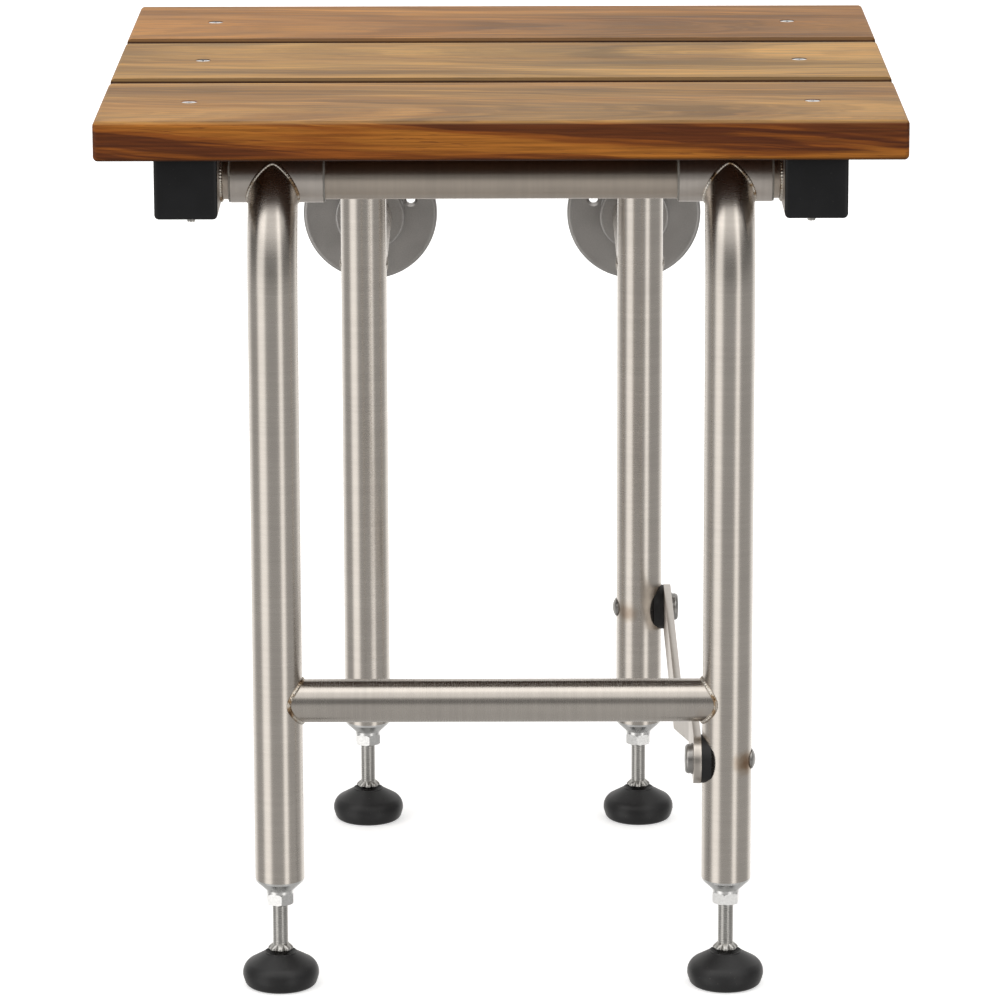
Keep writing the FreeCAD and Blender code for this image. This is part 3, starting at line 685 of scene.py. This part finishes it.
def build():
    slats = {
        "slat_front": teak("teak_front", "slat_front", 2.3, (-0.030, -0.075), 0.055,
                           (0.135, 0.032, 0.007), (0.37, 0.105, 0.014), (0.60, 0.215, 0.030),
                           (0.42, 0.230, 0.072), 0.86, (1,)),
        "slat_middle": teak("teak_middle", "slat_middle", 8.1, (0.025, -0.090), -0.030,
                            (0.12, 0.034, 0.009), (0.30, 0.100, 0.022), (0.48, 0.190, 0.045),
                            (0.48, 0.275, 0.084), 0.82, (-1, 1)),
        "slat_rear": teak("teak_rear", "slat_rear", 14.7, (-0.020, -0.100), 0.035,
                          (0.12, 0.034, 0.009), (0.32, 0.105, 0.022), (0.50, 0.190, 0.040),
                          (0.43, 0.205, 0.052), 0.74, (-1,)),
    }
    for name, material in slats.items():
        paint([name], material)

    front_marks, rear_marks = link_stains()
    paint(["front_leg_left"], stainless("steel_front_left", "Z", stains=weld_stains("left")))
    marks = weld_stains("right") + front_marks
    paint(["front_leg_right"], stainless("steel_front_right", "Z", stains=marks))
    paint(["rear_leg_left"], stainless("steel_rear_left", "Z"))
    paint(["rear_leg_right"], stainless("steel_rear_right", "Z", stains=rear_marks))
    ends = [s for side in SIDES for s in weld_stains(side)]
    across = stainless("steel_across", "X", stains=ends)
    satin = stainless("steel_satin", "X", colour=(0.68, 0.625, 0.575), roughness=0.36)
    paint(["front_crossbar"], across)
    # A darker, browner copy of the steel for the cross tubes and collars under the seat: painted shade,
    # with a painted reflection of the brown wood above.
    tube = stainless("steel_tube_shaded", "X", colour=(0.57, 0.50, 0.43), roughness=0.34)
    paint(["front_cross_tube", "rear_cross_tube", "sleeve_collars"], tube)
    paint(["{}_sleeve_{}".format(end, side) for end in ENDS for side in SIDES], satin)
    back = stainless("steel_back", "Y")
    paint(["wall_arm_left", "wall_arm_right"], back)
    paint(["rail_left", "rail_right"], stainless("steel_rail", "Y", roughness=0.34))

    blasted = cast_metal("flange_blasted", (0.47, 0.455, 0.44), 0.46, 1500.0)
    paint(["wall_flange_left", "wall_flange_right"], blasted)
    bright = cast_metal("insert_bright", (0.86, 0.86, 0.85), 0.28, 900.0)
    paint(["insert_{}_{}".format(end, side) for end in ENDS for side in SIDES], bright)
    paint(["front_jam_nuts", "rear_jam_nuts"], bright)
    fastener = cast_metal("fastener_zinc", (0.42, 0.41, 0.395), 0.30, 700.0)
    paint(["slat_washers", "slat_nuts"], fastener)
    paint(["slat_screws"], cast_metal("screw_polished", (0.92, 0.91, 0.89), 0.22, 700.0))
    for end in ENDS:
        paint([end + "_link_bolt", end + "_link_washer", end + "_link_nut"], fastener)
    nylon = plastic("liner_nylon_worn", (0.62, 0.60, 0.55), 0.45, 600.0)
    paint(["front_liners", "rear_liners"], nylon)
    saddle = plastic("spacer_rubber", (0.018, 0.018, 0.019), 0.45, 1500.0, 0.2)
    paint(["front_link_spacer", "rear_link_spacer"], saddle)

    flat = stainless("steel_link", "Y", roughness=0.32, brush=0.3)
    softened("link_bar_rounded", "link_bar", 0.45 * MM, flat, "link")

    cap = plastic("cap_moulded", (0.008, 0.0085, 0.010), 0.42, 1800.0, 0.12)
    for side in SIDES:
        front_low, front_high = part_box("cap_front_" + side)
        rear_low, rear_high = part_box("cap_rear_" + side)
        end_cap("cap_front_" + side, front_low.y, front_high.y, cap)
        end_cap("cap_rear_" + side, rear_high.y, rear_low.y, cap)

    rubber = plastic("foot_moulded", (0.028, 0.028, 0.029), 0.40, 1300.0, 0.2)
    threaded = cast_metal("stud_plated", (0.56, 0.55, 0.525), 0.30, 600.0)
    for end in ENDS:
        for side in SIDES:
            foot_base(end, side, rubber)
            stud(end, side, threaded)
    screw_threads(fastener)
    add_welds(weld_metal("weld_bead"))


# ---------------------------------------------------------------- studio

LENS = 198.19
CAMERA_PLACE = (0.0033, -2.934, 0.925)
CAMERA_DOWN = math.radians(13.77)
CAMERA_LEFT = math.radians(0.09)
CAMERA_ROLL = math.radians(-0.15)


def add_camera():
    camera = bpy.data.objects.new("camera", bpy.data.cameras.new("camera"))
    camera.data.sensor_width = 36
    camera.data.lens = LENS
    camera.data.clip_end = 100
    bpy.context.scene.collection.objects.link(camera)
    tilt = Matrix.Rotation(math.pi / 2 - CAMERA_DOWN, 4, "X")
    turn = Matrix.Rotation(CAMERA_LEFT, 4, "Z")
    roll = Matrix.Rotation(CAMERA_ROLL, 4, "Z")
    place = Matrix.Translation(CAMERA_PLACE)
    camera.matrix_world = place @ turn @ tilt @ roll
    bpy.context.scene.camera = camera


def add_floor():
    material, tree, shader = new_material("floor_white")
    here = place_of(tree)
    speckle = noise(tree, here, scale=6.0, detail=2)
    patches = spread(tree, speckle, 0.3, 0.7)
    set_inputs(tree, shader, {
        "Base Color": blend(tree, patches, (0.93, 0.93, 0.93), (0.95, 0.95, 0.95)),
        "Roughness": 0.9,
        "Emission Color": (1, 1, 1, 1),
        "Emission Strength": 0.55,
        "Specular IOR Level": 0.1,
    })
    mesh = bpy.data.meshes.new("floor")
    reach = 12.0
    corners = [(-reach, -reach, 0), (reach, -reach, 0), (reach, reach, 0), (-reach, reach, 0)]
    mesh.from_pydata(corners, [], [(0, 1, 2, 3)])
    mesh.materials.append(material)
    floor = bpy.data.objects.new("floor", mesh)
    bpy.context.scene.collection.objects.link(floor)
    floor.visible_glossy = False
    floor.visible_diffuse = False


# Each light is a window in the room: azimuth from and to, its softness, height from and to, its
# softness, all in degrees, and its brightness. Azimuth 0 is the viewer's side.
LIGHTS = [
    (-72, -36, 8, -42, 66, 12, 0.90),
    (27, 46, 5, -42, 66, 12, 0.95),
    (-75, 75, 16, 26, 66, 8, 0.75),
    (-200, 200, 1, 62, 91, 10, 1.25),
    (125, 235, 18, -30, 50, 12, 0.7),
    (-235, -125, 18, -30, 50, 12, 0.7),
]
ROOM_LIGHT = 0.17
GROUND_LIGHT = 0.46
GROUND_BOUNCE_CUT = 0.37      # taken off the ground's light where it falls on dull surfaces


def add_world():
    """A white studio. Two tall soft boxes stand left and right of the viewer, with a broad one
    above, and the rest of the room is dim, so round steel shows long streaks."""
    world = bpy.data.worlds.new("studio")
    bpy.context.scene.world = world
    world.use_nodes = True
    tree = world.node_tree
    tree.nodes.clear()
    toward = add(tree, "ShaderNodeTexCoord").outputs["Generated"]
    x, y, z = add(tree, "ShaderNodeSeparateXYZ", {0: toward}).outputs
    azimuth = calc(tree, "ARCTAN2", x, calc(tree, "MULTIPLY", y, -1.0))
    height = calc(tree, "ARCSINE", z)

    def window(value, low, high, soft):
        low, high, soft = (math.radians(a) for a in (low, high, soft))
        rise = spread(tree, value, low - soft, low + soft)
        fall = spread(tree, value, high + soft, high - soft)
        return calc(tree, "MULTIPLY", rise, fall)

    bounced = add(tree, "ShaderNodeLightPath").outputs["Is Diffuse Ray"]
    ground = calc(tree, "SUBTRACT", GROUND_LIGHT, calc(tree, "MULTIPLY", bounced, GROUND_BOUNCE_CUT))
    above = spread(tree, height, math.radians(-12), math.radians(4))
    total = calc(tree, "ADD", calc(tree, "MULTIPLY", ground, calc(tree, "SUBTRACT", 1.0, above)),
                 calc(tree, "MULTIPLY", above, ROOM_LIGHT))
    for left, right, soft, low, high, soft_up, power in LIGHTS:
        sideways = window(azimuth, left, right, soft)
        upright = window(height, low, high, soft_up)
        patch = calc(tree, "MULTIPLY", sideways, upright)
        total = calc(tree, "ADD", total, calc(tree, "MULTIPLY", patch, power))
    room = add(tree, "ShaderNodeBackground", {"Color": (1.0, 0.985, 0.965, 1), "Strength": total})
    white = add(tree, "ShaderNodeBackground", {"Color": (1, 1, 1, 1), "Strength": 1.0})
    seen = add(tree, "ShaderNodeLightPath").outputs["Is Camera Ray"]
    shown = add(tree, "ShaderNodeMixShader", {0: seen, 1: room.outputs[0], 2: white.outputs[0]})
    add(tree, "ShaderNodeOutputWorld", {"Surface": shown.outputs[0]})


scene = bpy.context.scene
scene.view_settings.view_transform = "Standard"
add_camera()
add_world()
add_floor()
build()
